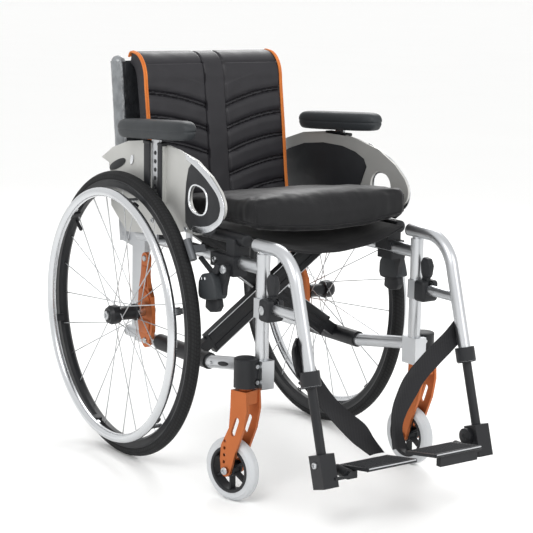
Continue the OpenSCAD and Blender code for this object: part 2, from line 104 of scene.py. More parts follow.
def round_edges(obj, width, segments=2, angle=30):
    """Bevels the edges that turn by more than an angle."""
    if width:
        apply_modifier(obj, "BEVEL", width=width / 1000, segments=segments, limit_method="ANGLE",
                       angle_limit=math.radians(angle), use_clamp_overlap=True)
    return obj


def chain(points):
    """A row of edges: a plane merged to one vertex and extruded from place to place."""
    only()
    bpy.ops.mesh.primitive_plane_add(size=0.002, location=points[0])
    obj = bpy.context.object
    bpy.ops.object.transform_apply(location=True, rotation=True, scale=True)
    bpy.ops.object.mode_set(mode="EDIT")
    bpy.ops.mesh.select_all(action="SELECT")
    bpy.ops.mesh.merge(type="CENTER")
    for here, there in zip(points, points[1:]):
        bpy.ops.mesh.extrude_region_move(TRANSFORM_OT_translate={"value": there - here})
    bpy.ops.mesh.select_all(action="SELECT")
    return obj


def plate(points, depth, bevel=0.6, segments=2):
    """A flat outline extruded along depth, with softened edges."""
    obj = chain(points)
    bpy.ops.mesh.edge_face_add()
    bpy.ops.mesh.extrude_region_move(TRANSFORM_OT_translate={"value": depth})
    bpy.ops.mesh.select_all(action="SELECT")
    bpy.ops.mesh.normals_make_consistent(inside=False)
    only(obj)
    return round_edges(obj, bevel, segments)


def turned(points, centre, axis, steps=48):
    """A profile spun round an axis, as on a lathe."""
    obj = chain(points)
    bpy.ops.mesh.spin(steps=steps, angle=2 * math.pi, center=centre, axis=axis)
    bpy.ops.mesh.select_all(action="SELECT")
    bpy.ops.mesh.remove_doubles(threshold=0.00001)
    bpy.ops.mesh.normals_make_consistent(inside=False)
    only(obj)
    return obj


def tube(points, radius, closed=False, resolution=4):
    """A round bar that follows a path."""
    obj = chain(list(points) + ([points[0]] if closed else []))
    if closed:
        bpy.ops.mesh.remove_doubles(threshold=0.00001)
    only(obj)
    bpy.ops.object.convert(target="CURVE")
    obj.data.bevel_depth = radius / 1000
    obj.data.bevel_resolution = resolution
    obj.data.use_fill_caps = True
    bpy.ops.object.convert(target="MESH")
    return bpy.context.object


def block(low, high, bevel=1.0, segments=2):
    """A bar between two corners, with its edges rounded."""
    only()
    bpy.ops.mesh.primitive_cube_add(size=1, location=(low + high) / 2,
                                    scale=[abs(h - l) for h, l in zip(high, low)])
    obj = bpy.context.object
    bpy.ops.object.transform_apply(location=True, rotation=True, scale=True)
    return round_edges(obj, bevel, segments)


def disc(centre, axis, profile, steps=40):
    """A turned part from (radius, height along the axis) pairs in millimetres."""
    axis = Vector(axis).normalized()
    side = axis.orthogonal().normalized()
    return turned([centre + side * r / 1000 + axis * h / 1000 for r, h in profile], centre, axis, steps)


def side_plate(s, x, outline, thick, bevel=0.6, segments=2):
    """A plate from (y, z) places at x on one side of the chair, extruded outwards."""
    return plate([at(s * x, y, z) for y, z in outline], Vector((s * thick / 1000, 0, 0)), bevel, segments)


def cut(obj, cutter):
    """Takes one shape out of another and drops it."""
    apply_modifier(obj, "BOOLEAN", operation="DIFFERENCE", object=cutter, solver="EXACT")
    bpy.data.objects.remove(cutter)


def bolt(centre, axis, r, h, socket=True):
    """A button head with a round socket in its top, or without one when socket is False."""
    rim = [(r, -0.6), (r, h * 0.45), (r * 0.86, h * 0.85), (r * 0.55, h)]
    well = [(r * 0.5, h), (r * 0.48, h * 0.35), (0.01, h * 0.3)] if socket else [(0.01, h * 1.05)]
    return disc(centre, axis, rim + well, 24)


def join(objects):
    """Makes one piece of several."""
    only(objects[0])
    for o in objects:
        o.select_set(True)
    bpy.ops.object.join()
    return bpy.context.object


def shell(name, rows, closed_u=False, closed_v=False):
    """A sheet of quads through rows of points."""
    count, width = len(rows), len(rows[0])
    index = lambda r, c: (r % count) * width + c % width
    faces = [(index(r, c), index(r, c + 1), index(r + 1, c + 1), index(r + 1, c))
             for r in range(count - (0 if closed_u else 1))
             for c in range(width - (0 if closed_v else 1))]
    mesh = bpy.data.meshes.new(name)
    mesh.from_pydata([p for row in rows for p in row], [], faces)
    obj = bpy.data.objects.new(name, mesh)
    bpy.context.scene.collection.objects.link(obj)
    only(obj)
    bpy.ops.object.mode_set(mode="EDIT")
    bpy.ops.mesh.select_all(action="SELECT")
    bpy.ops.mesh.remove_doubles(threshold=0.00001)
    bpy.ops.mesh.normals_make_consistent(inside=False)
    only(obj)
    return obj


def finish(obj, name, material, body, smooth=35, replaces=()):
    """Names a piece, gives it its material, shading and body, and hides the parts it replaces."""
    obj.name = obj.data.name = name
    obj.data.materials.clear()
    obj.data.materials.append(MATERIALS[material])
    only(obj)
    bpy.ops.object.shade_smooth_by_angle(angle=math.radians(smooth))
    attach(obj, body)
    if replaces:
        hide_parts(*replaces)
    return obj


# ---- materials ---------------------------------------------------------------

def linear(colour):
    """The linear colour of an sRGB hex value."""
    parts = [int(colour[i:i + 2], 16) / 255 for i in (1, 3, 5)]
    return [p / 12.92 if p <= 0.04045 else ((p + 0.055) / 1.055) ** 2.4 for p in parts] + [1.0]


def node(tree, kind, settings=None, inputs=None):
    """Adds a shader node with its settings, and its inputs' values or links."""
    made = tree.nodes.new("ShaderNode" + kind)
    for key, value in (settings or {}).items():
        setattr(made, key, value)
    for key, value in (inputs or {}).items():
        if isinstance(value, bpy.types.NodeSocket):
            tree.links.new(value, made.inputs[key])
        else:
            made.inputs[key].default_value = linear(value) if isinstance(value, str) else value
    return made


def start(name, **shader_values):
    """A new material: its tree, its shader and Object coordinates."""
    made = bpy.data.materials.new(name)
    made.use_nodes = True
    tree = made.node_tree
    tree.nodes.clear()
    shader = node(tree, "BsdfPrincipled", None,
                  {key.replace("_", " "): value for key, value in shader_values.items()})
    node(tree, "OutputMaterial", None, {"Surface": shader.outputs[0]})
    MATERIALS[name] = made
    return tree, shader, node(tree, "TexCoord").outputs["Object"]


def two_tone(tree, shader, factor, dark, light):
    """Lets the base colour wander between two colours."""
    mix = node(tree, "Mix", {"data_type": "RGBA"}, {"Factor": factor})
    mix.inputs[6].default_value = linear(dark)
    mix.inputs[7].default_value = linear(light)
    tree.links.new(mix.outputs[2], shader.inputs["Base Color"])


def spread(tree, value, low, high):
    """Brings a 0 to 1 pattern to a range."""
    return node(tree, "MapRange", None, {"Value": value, "To Min": low, "To Max": high}).outputs[0]


def bump(tree, shader, layers):
    """Stacks bumps, each a pattern with its height in millimetres."""
    normal = None
    for height, depth in layers:
        inputs = {"Height": height, "Strength": 1.0, "Distance": depth / 1000}
        if normal:
            inputs["Normal"] = normal
        normal = node(tree, "Bump", None, inputs).outputs[0]
    tree.links.new(normal, shader.inputs["Normal"])


def grain(tree, coords, mm, stretch=(1, 1, 1), detail=2.0):
    """Noise whose features are about mm wide, drawn out along an axis by stretch."""
    place = node(tree, "Mapping", None, {"Vector": coords, "Scale": [1 / s for s in stretch]})
    inputs = {"Vector": place.outputs[0], "Scale": 1000 / mm, "Detail": detail}
    return node(tree, "TexNoise", None, inputs).outputs[0]


def calc(tree, operation, a, b=0.0):
    """One sum in the shader."""
    return node(tree, "Math", {"operation": operation}, {0: a, 1: b}).outputs[0]


def metal(name, dark, light, roughness, grain_mm=1.2, stretch=(1, 1, 1), depth=0.02, metallic=1.0):
    """Bare or anodised metal: broad tone changes, and a fine grain that breaks up its gloss."""
    tree, shader, coords = start(name, Metallic=metallic)
    two_tone(tree, shader, grain(tree, coords, 90), dark, light)
    fine = grain(tree, coords, grain_mm, stretch, 4.0)
    tree.links.new(spread(tree, fine, roughness - 0.07, roughness + 0.08), shader.inputs["Roughness"])
    bump(tree, shader, [(fine, depth)])


def plastic(name, dark, light, roughness, grain_mm=1.0, depth=0.05):
    """Moulded or coated surface: a fine pebbled grain and slightly uneven gloss."""
    tree, shader, coords = start(name, Specular_IOR_Level=0.3)
    two_tone(tree, shader, grain(tree, coords, 40), dark, light)
    fine = grain(tree, coords, grain_mm, detail=3.0)
    tree.links.new(spread(tree, grain(tree, coords, 18), roughness - 0.06, roughness + 0.08),
                   shader.inputs["Roughness"])
    bump(tree, shader, [(fine, depth)])


def cloth(name, dark, light, roughness, thread_mm, weave, crease_mm, crease, sheen, gloss=0.22):
    """Woven cloth: crossed threads, drawn coarser than life so that they show, over soft creases, with
    painted shade darkening the creases' hollows.
    """
    tree, shader, coords = start(name, Sheen_Weight=sheen, Sheen_Roughness=0.4, Specular_IOR_Level=gloss)
    crease_relief_and_shade = grain(tree, coords, crease_mm, (1, 1, 1.6))
    # The base colour follows the creases' height: painted shade, darker in the hollows of the creases.
    two_tone(tree, shader, crease_relief_and_shade, dark, light)
    threads = None
    inputs = {"Vector": coords, "Scale": 1000 / thread_mm / 20 * math.pi, "Distortion": 0.4}
    for direction in ("X", "Y", "Z"):
        wave = node(tree, "TexWave", {"bands_direction": direction}, inputs).outputs[1]
        threads = wave if threads is None else calc(tree, "ADD", threads, wave)
    tree.links.new(spread(tree, crease_relief_and_shade, roughness - 0.08, roughness + 0.08), shader.inputs["Roughness"])
    bump(tree, shader, [(crease_relief_and_shade, crease), (calc(tree, "MULTIPLY", threads, 0.33), weave)])


def tread(name, centre, repeat):
    """Moulded tyre rubber: slanted blocks cut by grooves round the tyre, with painted shade darkening the
    grooves.
    """
    tree, shader, coords = start(name, Specular_IOR_Level=0.25)
    place = node(tree, "Mapping", None, {"Vector": coords, "Location": [-c for c in centre]})
    parts = node(tree, "SeparateXYZ", None, {0: place.outputs[0]})
    angle = calc(tree, "ARCTAN2", parts.outputs["Z"], parts.outputs["Y"])
    across = calc(tree, "ABSOLUTE", parts.outputs["X"])
    slant = calc(tree, "ADD", calc(tree, "MULTIPLY", angle, float(repeat)),
                 calc(tree, "MULTIPLY", across, 520.0))
    blocks = calc(tree, "GREATER_THAN", calc(tree, "SINE", slant), -0.35)
    grooves = calc(tree, "GREATER_THAN", calc(tree, "SINE", calc(tree, "MULTIPLY", across, 1500.0)), -0.55)
    pattern = calc(tree, "MULTIPLY", blocks, grooves)
    dust = grain(tree, coords, 25)
    # The grooves take the dark colour and the raised blocks the lighter one, varied by random dust noise:
    # painted shade in the grooves.
    groove_shade_and_dust = calc(tree, "MULTIPLY", pattern, spread(tree, dust, 0.5, 1.0))
    two_tone(tree, shader, groove_shade_and_dust, "#141415", "#222324")
    tree.links.new(spread(tree, dust, 0.62, 0.8), shader.inputs["Roughness"])
    bump(tree, shader, [(pattern, 0.3), (grain(tree, coords, 0.8), 0.05)])


class WheelchairSizes(bpy.types.PropertyGroup):
    """Sizes that a user would change."""
    channel_pitch: bpy.props.FloatProperty(
        name="Channel pitch", description="Height between the back cover's sewn channels",
        default=0.0505, min=0.035, max=0.07, unit="LENGTH")
    channel_drop: bpy.props.FloatProperty(
        name="Channel drop", description="How far a channel falls towards the middle band",
        default=0.032, min=0.0, max=0.05, unit="LENGTH")
    cushion_swell: bpy.props.FloatProperty(
        name="Cushion swell", description="The most a point of the cushion may move as it swells",
        default=0.011, min=0.004, max=0.02, unit="LENGTH")
    piping_radius: bpy.props.FloatProperty(
        name="Piping radius", description="Radius of one strand of the back cover's piping",
        default=0.0022, min=0.0015, max=0.005, unit="LENGTH")


class WHEELCHAIR_OT_materials(bpy.types.Operator):
    """Makes the materials and gives the frame's nodes theirs"""
    bl_idname = "wheelchair.materials"
    bl_label = "Materials"

    def execute(self, context):
        # Anodised aluminium tube is pale and satin, with a soft long highlight.
        metal("anodised_aluminium", "#b9bbbe", "#cfd1d3", 0.34)
        # Brushed sheet has fine lines along its length and a darker, silkier tone.
        metal("brushed_aluminium", "#b2b2af", "#c8c8c5", 0.50, 0.9, (1, 40, 1), 0.05, metallic=0.6)
        # Polished and clear-anodised hoops show sharper reflections.
        metal("polished_aluminium", "#c3c5c8", "#d6d8da", 0.22, 1.5)
        # Bright zinc on steel bolts, spokes and axles.
        metal("zinc_steel", "#a9abad", "#c2c4c6", 0.28, 1.0)
        # Chromed trim.
        metal("chrome", "#d5d7da", "#e6e8ea", 0.12, 2.0, depth=0.005)
        # Orange anodising keeps the metal's gloss under the dye.
        metal("orange_anodising", "#a85a30", "#bf7040", 0.42, 1.1, metallic=0.75)
        # Satin powder coat over tube has a faint orange peel.
        plastic("black_powder_coat", "#17181a", "#202124", 0.40, 2.2, 0.06)
        # Glass-filled nylon mouldings are matte with a fine spark-eroded grain.
        plastic("moulded_nylon", "#1a1b1d", "#26272a", 0.50, 1.1, 0.08)
        # Integral-skin polyurethane foam is soft, pebbled and a little grey.
        plastic("foam_skin", "#282b2d", "#333639", 0.52, 1.6, 0.12)
        # Pale solid polyurethane caster tread.
        plastic("polyurethane_tread", "#b4b7ba", "#c6c8ca", 0.42, 1.8, 0.05)
        # Black coated polyester, smooth and faintly glossy with a leather-like grain.
        plastic("coated_polyester", "#201f22", "#2b2a2e", 0.46, 1.3, 0.10)
        # Stitching and cord piping in orange thread.
        cloth("orange_piping", "#b95f22", "#d8813c", 0.55, 1.6, 0.25, 20, 0.1, 0.2)
        # Tight black nylon with a low lustre, and creases that run with the stuffing.
        cloth("nylon_cloth", "#0c0c0e", "#161618", 0.52, 1.8, 0.06, 34, 1.6, 0.15)
        # Heavier seat nylon, duller.
        cloth("seat_nylon", "#0e0e10", "#18181a", 0.62, 2.4, 0.10, 50, 1.5, 0.1)
        # Flat webbing with a ribbed face.
        cloth("webbing", "#131315", "#1f1f22", 0.58, 3.2, 0.30, 40, 0.6, 0.2)
        # Crinkled glossy laminate on the back of the hook and loop bands.
        cloth("hook_band", "#17181a", "#2c2e31", 0.34, 2.6, 0.10, 14, 2.4, 0.0, 0.6)
        # Laminate where a band turns round a post, painted much paler than the bands: a painted reflection
        # of the white studio.
        cloth("pale_laminate_painted_reflection", "#4a4d50", "#8d9194", 0.24, 2.6, 0.08, 16, 2.4, 0.0, 0.9)
        # Grey die-cast brake bar.
        metal("cast_grey", "#55575a", "#66686b", 0.5, 1.4, depth=0.05, metallic=0.6)
        for side, s in SIDES:
            tread("tyre_tread_" + side, (s * (TYRE_HIGH.x + TYRE_LOW.x) / -2, AXLE_Y, AXLE_Z), 230)
        carried = {
            "anodised_aluminium": ["frame", "back_post", "arm_post", "hanger", "axle"],
            "brushed_aluminium": ["side_guard"],
            "polished_aluminium": ["push_ring"],
            "zinc_steel": ["fixings", "spokes", "axle_button"],
            "orange_anodising": ["axle_plate", "caster_fork"],
            "black_powder_coat": ["caster_housing", "rim", "hub", "foot_stem"],
            "cast_grey": ["brake_shoe"],
            "moulded_nylon": ["clamps", "brake_lever", "latch_lever", "caster_hub", "foot_plate"],
            "polyurethane_tread": ["caster_tyre"],
        }
        for name, parts in carried.items():
            for part in parts:
                for side, _ in SIDES:
                    self.dress(f"{side}_{part}", name)
        for side, _ in SIDES:
            self.dress(side + "_tyre", "tyre_tread_" + side)
        for bar in ("front_cross_bar", "rear_cross_bar"):
            self.dress(bar, "black_powder_coat")
        self.dress("cross_bolt", "zinc_steel")
        return {"FINISHED"}

    @staticmethod
    def dress(part, name):
        """Gives a frame node a material."""
        mesh = frame["nodes"][part].data
        mesh.materials.clear()
        mesh.materials.append(MATERIALS[name])


# ---- soft goods --------------------------------------------------------------

def swell(obj, voxel, pressure, cap, held):
    """Remeshes a padded shape and lets it swell as stuffed cloth, held along its seams."""
    apply_modifier(obj, "REMESH", mode="VOXEL", voxel_size=voxel)
    before = [v.co.copy() for v in obj.data.vertices]
    seams = obj.vertex_groups.new(name="seams")
    seams.add([i for i, p in enumerate(before) if held(p)], 1.0, "REPLACE")
    modifier = obj.modifiers.new("Cloth", "CLOTH")
    settings = modifier.settings
    settings.quality = 5
    settings.mass = 0.3
    settings.tension_stiffness = settings.compression_stiffness = 12
    settings.shear_stiffness = 5
    settings.bending_stiffness = 0.6
    settings.use_pressure = True
    settings.uniform_pressure_force = pressure
    settings.vertex_group_mass = seams.name
    settings.effector_weights.gravity = 0
    modifier.collision_settings.use_collision = False
    for step in range(1, 21):
        bpy.context.scene.frame_set(step)
    shown = obj.evaluated_get(bpy.context.evaluated_depsgraph_get())
    after = [v.co.copy() for v in shown.data.vertices]
    obj.modifiers.remove(modifier)
    bpy.context.scene.frame_set(1)
    for v, old, new in zip(obj.data.vertices, before, after):
        move = new - old
        v.co = old + (move.normalized() * cap if move.length > cap else move)
    obj.vertex_groups.clear()
    return obj


CUSHION_LOW = at(-186, -388, 516)
CUSHION_HIGH = at(186, 6, 577)


def sag(x, share):
    """How far the cushion hangs below its edges; share runs from its underside, 0, to its top, 1."""
    return (0.016 - 0.012 * share) * (1 - min(abs(x) / 0.186, 1) ** 2)


def thinned(y):
    """The share of its height that the cushion has lost at a place from front to back."""
    back = min(max((y - CUSHION_LOW.y) / (CUSHION_HIGH.y - CUSHION_LOW.y), 0), 1)
    return 0.74 * back ** 1.2


class WHEELCHAIR_OT_cushion(bpy.types.Operator):
    """Adds the seat cushion, swollen as stuffed cloth and thinner towards the back, with its seams"""
    bl_idname = "wheelchair.cushion"
    bl_label = "Seat cushion"

    def execute(self, context):
        sizes = context.scene.wheelchair_sizes
        low, high = CUSHION_LOW, CUSHION_HIGH
        pad = block(low, high, 17, 5)
        only(pad)
        bpy.ops.object.mode_set(mode="EDIT")
        bpy.ops.mesh.select_all(action="SELECT")
        bpy.ops.mesh.subdivide(number_cuts=14)
        only(pad)
        for v in pad.data.vertices:
            share = (v.co.z - low.z) / (high.z - low.z)
            v.co.z = low.z + (v.co.z - low.z) * (1 - thinned(v.co.y)) + 0.010 - sag(v.co.x, share)

        def held(p):
            edge_x = abs(p.x) > high.x - 0.007
            edge_y = p.y < low.y + 0.007 or p.y > high.y - 0.007
            tall = (high.z - low.z) * (1 - thinned(p.y))
            under = p.z < low.z + 0.017 - sag(p.x, 0)
            over = p.z > low.z + 0.003 + tall - sag(p.x, 1) and p.y > low.y + 0.06
            return (edge_x and edge_y) or (under and (edge_x or edge_y)) or (over and (edge_x or edge_y))

        swell(pad, 0.006, 4.0, sizes.cushion_swell, held)
        apply_modifier(pad, "SMOOTH", factor=0.5, iterations=2)
        for v in pad.data.vertices:
            corner = math.exp(-((abs(v.co.x) - 0.176) / 0.03) ** 2 - ((v.co.y - low.y) / 0.05) ** 2)
            fold = noise.noise(Vector((v.co.x * 70, v.co.y * 70, v.co.z * 22)))
            broad = noise.noise(Vector((v.co.x * 16, v.co.y * 16, v.co.z * 9 + 4)))
            v.co += v.normal * (0.0026 * fold * (0.35 + corner) + 0.0018 * broad)
        apply_modifier(pad, "SUBSURF", levels=1, render_levels=1)
        finish(pad, "seat_cushion_cover", "nylon_cloth", "seat", 60, ["seat_cushion"])
        tree = BVHTree.FromObject(pad, context.evaluated_depsgraph_get())

        def on_pad(x, y, z):
            spot = tree.find_nearest(Vector((x, y, z)))
            return spot[0] + spot[1] * 0.0003

        path = []
        corners = [(-1, -1), (1, -1), (1, 1), (-1, 1)]
        for a, b in zip(corners, corners[1:] + corners[:1]):
            for i in range(16):
                x = (a[0] + (b[0] - a[0]) * i / 16) * 0.192
                y = (low.y + high.y) / 2 + (a[1] + (b[1] - a[1]) * i / 16) * (high.y - low.y + 0.012) / 2
                path.append(on_pad(x, y, low.z + 0.019 - sag(x, 0)))
        cords = [tube(path, 1.5, closed=True, resolution=3)]
        for s in (-1, 1):
            seam = [on_pad(s * 0.196, low.y - 0.008, low.z + 0.012 + 0.006 * i) for i in range(9)]
            cords.append(tube(seam, 1.0, resolution=2))
        piping = finish(join(cords), "cushion_piping", "nylon_cloth", "seat", 60)
        for piece in (pad, piping):
            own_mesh(piece)
        return {"FINISHED"}


class WHEELCHAIR_OT_sling(bpy.types.Operator):
    """Adds the seat sling that hangs between the rails"""
    bl_idname = "wheelchair.sling"
    bl_label = "Seat sling"

    def execute(self, context):
        def point(u, v):
            """u runs from rail to rail, v from front to back."""
            x = 173.5 * u
            fall = 32 * (1 - abs(u) ** 2.2)
            ripple = 1.8 * noise.noise(Vector((u * 3.2, v * 5, 1.7))) * (1 - abs(u) ** 3)
            front = 4 * max(0.0, 1 - v * 12) * (1 - u * u)
            return at(x, -391 + 428 * v, 507 - fall + ripple - front)

        rows = [[point(-1 + i / 32, j / 60) for i in range(65)] for j in range(61)]
        sheet = shell("sling", rows)
        apply_modifier(sheet, "SOLIDIFY", thickness=0.0022, offset=0)
        finish(sheet, "seat_sling_cloth", "seat_nylon", "seat", 60, ["seat_sling"])
        hem = tube([point(-1 + i / 20, 0.004) + Vector((0, 0, -0.001)) for i in range(41)], 2.2)
        finish(hem, "sling_front_hem", "seat_nylon", "seat", 60)
        for piece in (sheet, hem):
            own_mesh(piece)
        return {"FINISHED"}


BACK_FRONT = [(12, 516), (22, 577), (32, 661), (40, 720), (47, 770), (49, 790), (55, 809), (67, 825),
              (84, 835), (104, 838)]
BACK_REAR = [(46, 514), (55, 577), (65, 661), (73, 720), (81, 770), (84, 784), (88, 796), (95, 806),
             (103, 811), (112, 815)]


def along(points, t):
    """A place on a smooth line through points, t from 0 to 1."""
    f = min(max(t, 0), 1) * (len(points) - 1)
    i = min(int(f), len(points) - 2)
    p = [Vector(points[min(max(k, 0), len(points) - 1)]) for k in (i - 1, i, i + 1, i + 2)]
    u = f - i
    return 0.5 * (2 * p[1] + (p[2] - p[0]) * u + (2 * p[0] - 5 * p[1] + 4 * p[2] - p[3]) * u * u
                  + (3 * p[1] - p[0] - 3 * p[2] + p[3]) * u ** 3)


BACK_HALF = 173.0
BAND_HALF = 25.0


class WHEELCHAIR_OT_back_cover(bpy.types.Operator):
    """Adds the padded back cover with its sewn channels, middle band and piping"""
    bl_idname = "wheelchair.back_cover"
    bl_label = "Back cover"

    def execute(self, context):
        sizes = context.scene.wheelchair_sizes
        pitch, drop = sizes.channel_pitch * 1000, sizes.channel_drop * 1000
        front, rear = [[along(line, i / 400) for i in range(401)] for line in (BACK_FRONT, BACK_REAR)]
        steps = 190
        reach = [0.0]
        for a, b in zip(front, front[1:]):
            reach.append(reach[-1] + (b - a).length)
        total = reach[-1]

        def line_at(line, d):
            return line[min(int(np.searchsorted(reach, d)), 400)]

        top_seam = 770 - 527 + 52

        def relief(x, d):
            """Height of the padding's face at a place across and up the cover."""
            side = abs(x)
            groove = lambda gap, width, depth: -depth * math.exp(-(gap / width) ** 2)
            if side < BAND_HALF - 2:
                return 2.6
            share = min(max((BACK_HALF - side) / (BACK_HALF - BAND_HALF), 0), 1)
            lift = d + drop * share ** 1.7
            height = 0.0
            phase = (top_seam - 54 - lift) / pitch
            nearest = min(max(round(phase), 0), 4)
            gap = (phase - nearest) * pitch
            if lift < top_seam - 8:
                height += groove(gap - 3.4, 1.6, 4.2) + groove(gap + 3.4, 1.4, 3.0)
                swell = min(abs(gap) / (pitch / 2), 1.0)
                rise = math.sin(math.pi / 2 * min(1, max(0, swell - 0.12) * 1.7)) if phase > -0.5 else 1.0
                height += 3.6 * rise
            else:
                height += 3.0
            height += groove(d - top_seam - 10, 1.8, 3.2)
            edge = math.exp(-((side - BAND_HALF) / 2.2) ** 2)
            height -= 4.2 * edge
            height *= min(1.0, (BACK_HALF - side) / 4) ** 0.5 if side < BACK_HALF else 0.0
            return height

        columns = [-BACK_HALF + 2 * BACK_HALF * i / 170 for i in range(171)]
        crown = lambda x: 1 - 0.1 * max(0.0, (abs(x) / BACK_HALF - 0.94) / 0.06) ** 2
        rows = []
        for j in range(-1, steps + 2):
            d = total * min(max(j, 0), steps) / steps
            f, r = line_at(front, d), line_at(rear, d)
            out = (f - r).normalized()
            face = []
            for x in columns:
                soft = 0.7 * noise.noise(Vector((x * 0.03, d * 0.03, 2.1)))
                p = r + (f - r) * crown(x) * 0.92 + out * (relief(x, d) + soft)
                face.append(at(x, p.x, p.y))
            behind = [at(x, r.x - 0.6, r.y) for x in columns]
            if j in (-1, steps + 1):
                face = behind = [(a + b) / 2 for a, b in zip(face, behind)]
            rows.append(face + behind[::-1])
        cover = shell("cover", rows, closed_v=True)
        finish(cover, "back_cover_padding", "coated_polyester", "right_back", 60,
               ["back_cover"])
        pieces = [cover]
        strand = sizes.piping_radius * 1000
        for side, s in SIDES:
            for offset, lift in ((0.0, 1.0), (2 * strand - 0.4, 0.1)):
                x = s * (BACK_HALF - 3 + offset)
                path = []
                for j in range(61):
                    d = total * j / 60
                    f, r = line_at(front, d), line_at(rear, d)
                    p = f + (f - r).normalized() * lift
                    path.append(at(x, p.x, p.y))
                for i in range(1, 8):
                    a = math.pi / 2 * i / 8
                    path.append(at(x, 104 + 12 * math.sin(a), 838 + lift - 14 * (1 - math.cos(a))))
                cord = tube(path, strand, resolution=3)
                name = f"back_{side}_piping_{int(offset > 0)}"
                finish(cord, name, "orange_piping", "right_back", 60)
                pieces.append(cord)
        for piece in pieces:
            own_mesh(piece)
        return {"FINISHED"}


class WHEELCHAIR_OT_back_straps(bpy.types.Operator):
    """Adds the bands behind the cover and their loops round the back posts"""
    bl_idname = "wheelchair.back_straps"
    bl_label = "Back straps"

    def execute(self, context):
        lean = math.radians(6.6)

        def band(k, outline, name, material, body, replaces=()):
            """A strip of cloth k bands up, through the places (x, distance from the post's axis)."""
            low, tall = 547 + 52 * k, 52 if k < 4 else 62
            rows = []
            for i in range(9):
                z = low + tall * i / 8
                y = 92 + (z - 452) * math.tan(lean)
                rows.append([at(x, y + d + 1.6 * noise.noise(Vector((x * 0.12, d * 0.12, z * 0.10 + k))), z)
                             for x, d in outline])
            strip = shell(name, rows)
            apply_modifier(strip, "SOLIDIFY", thickness=0.0016, offset=0)
            return finish(strip, f"{name}_{k}", material, body, 60, replaces)

        for k in range(5):
            for face, out in (("front", -1), ("rear", 1)):
                outline = [(190 - 380 * j / 40, out * (15.0 - 2.5 * math.sin(math.pi * j / 40)))
                           for j in range(41)]
                strip = band(k, outline, "back_band_" + face, "hook_band", "right_back",
                             ["back_straps"] if k == 0 and out < 0 else [])
                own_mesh(strip)
            for side, s in SIDES:
                turns = [math.pi * (j / 18 - 0.02) for j in range(19)]
                outline = [(s * (190 + 15.4 * math.sin(a)), -15.4 * math.cos(a)) for a in turns]
                # The loops round the posts take the paler colour, a painted reflection.
                band(k, outline, side + "_band_loop", "pale_laminate_painted_reflection", side + "_back")
        for side, s in SIDES:
            # The hood over each post also takes the paler colour, a painted reflection.
            hood = disc(at(s * 190, 133.5, 812), (0, math.sin(lean), math.cos(lean)),
                        [(15.2, -8), (15.2, 3), (13.8, 10), (9.5, 15), (4, 17), (0.01, 17.3)])
            finish(hood, side + "_post_hood", "pale_laminate_painted_reflection", side + "_back")
        return {"FINISHED"}


class WHEELCHAIR_OT_calf_straps(bpy.types.Operator):
    """Adds the calf straps that run from the hangers down to the foot plates"""
    bl_idname = "wheelchair.calf_straps"
    bl_label = "Calf straps"

    def execute(self, context):
        # Each strap has two edges, given from the hanger down in the same terms as at().
        near_upper = [
            (204, -553, 352), (197, -547, 350), (186, -546, 344), (172, -559, 312), (159, -568, 277),
            (128, -576, 233), (95, -582, 202), (65, -588, 176), (49, -595, 149), (28, -601, 120)]
        near_lower = [
            (214, -566, 342), (218, -560, 329), (212, -564, 293), (205, -570, 276), (196, -576, 259),
            (169, -580, 226), (141, -587, 193), (104, -594, 153), (80, -598, 133), (62, -601, 119)]
        far_upper = [
            (205, -554, 352), (197, -547, 350), (186, -547, 344), (150, -556, 322), (94, -566, 292),
            (40, -576, 256), (12, -584, 223), (-4, -591, 194), (-10, -598, 158), (-8, -602, 122)]
        far_lower = [
            (204, -568, 300), (197, -563, 300), (186, -560, 297), (160, -566, 284), (128, -572, 267),
            (85, -580, 241), (59, -587, 217), (28, -594, 184), (16, -599, 156), (29, -602, 118)]
        lines = {"right": (near_upper, near_lower), "left": (far_upper, far_lower)}
        for side, s in SIDES:
            upper, lower = lines[side]
            rows = []
            for i in range(61):
                a, b = along(upper, i / 60), along(lower, i / 60)
                ease = noise.noise(Vector((i * 0.11, s * 2.0, 0.4)))
                rows.append([at(s * q.x, q.y + (3.0 * ease + 4.0) * math.sin(math.pi * j / 12), q.z)
                             for j in range(13) for q in [a + (b - a) * j / 12]])
            strap = shell("strap", rows)
            apply_modifier(strap, "SOLIDIFY", thickness=0.0022, offset=0)
            finish(strap, side + "_calf_band", "webbing", side + "_hanger", 60,
                   [side + "_calf_strap"])
            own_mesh(strap)
        return {"FINISHED"}


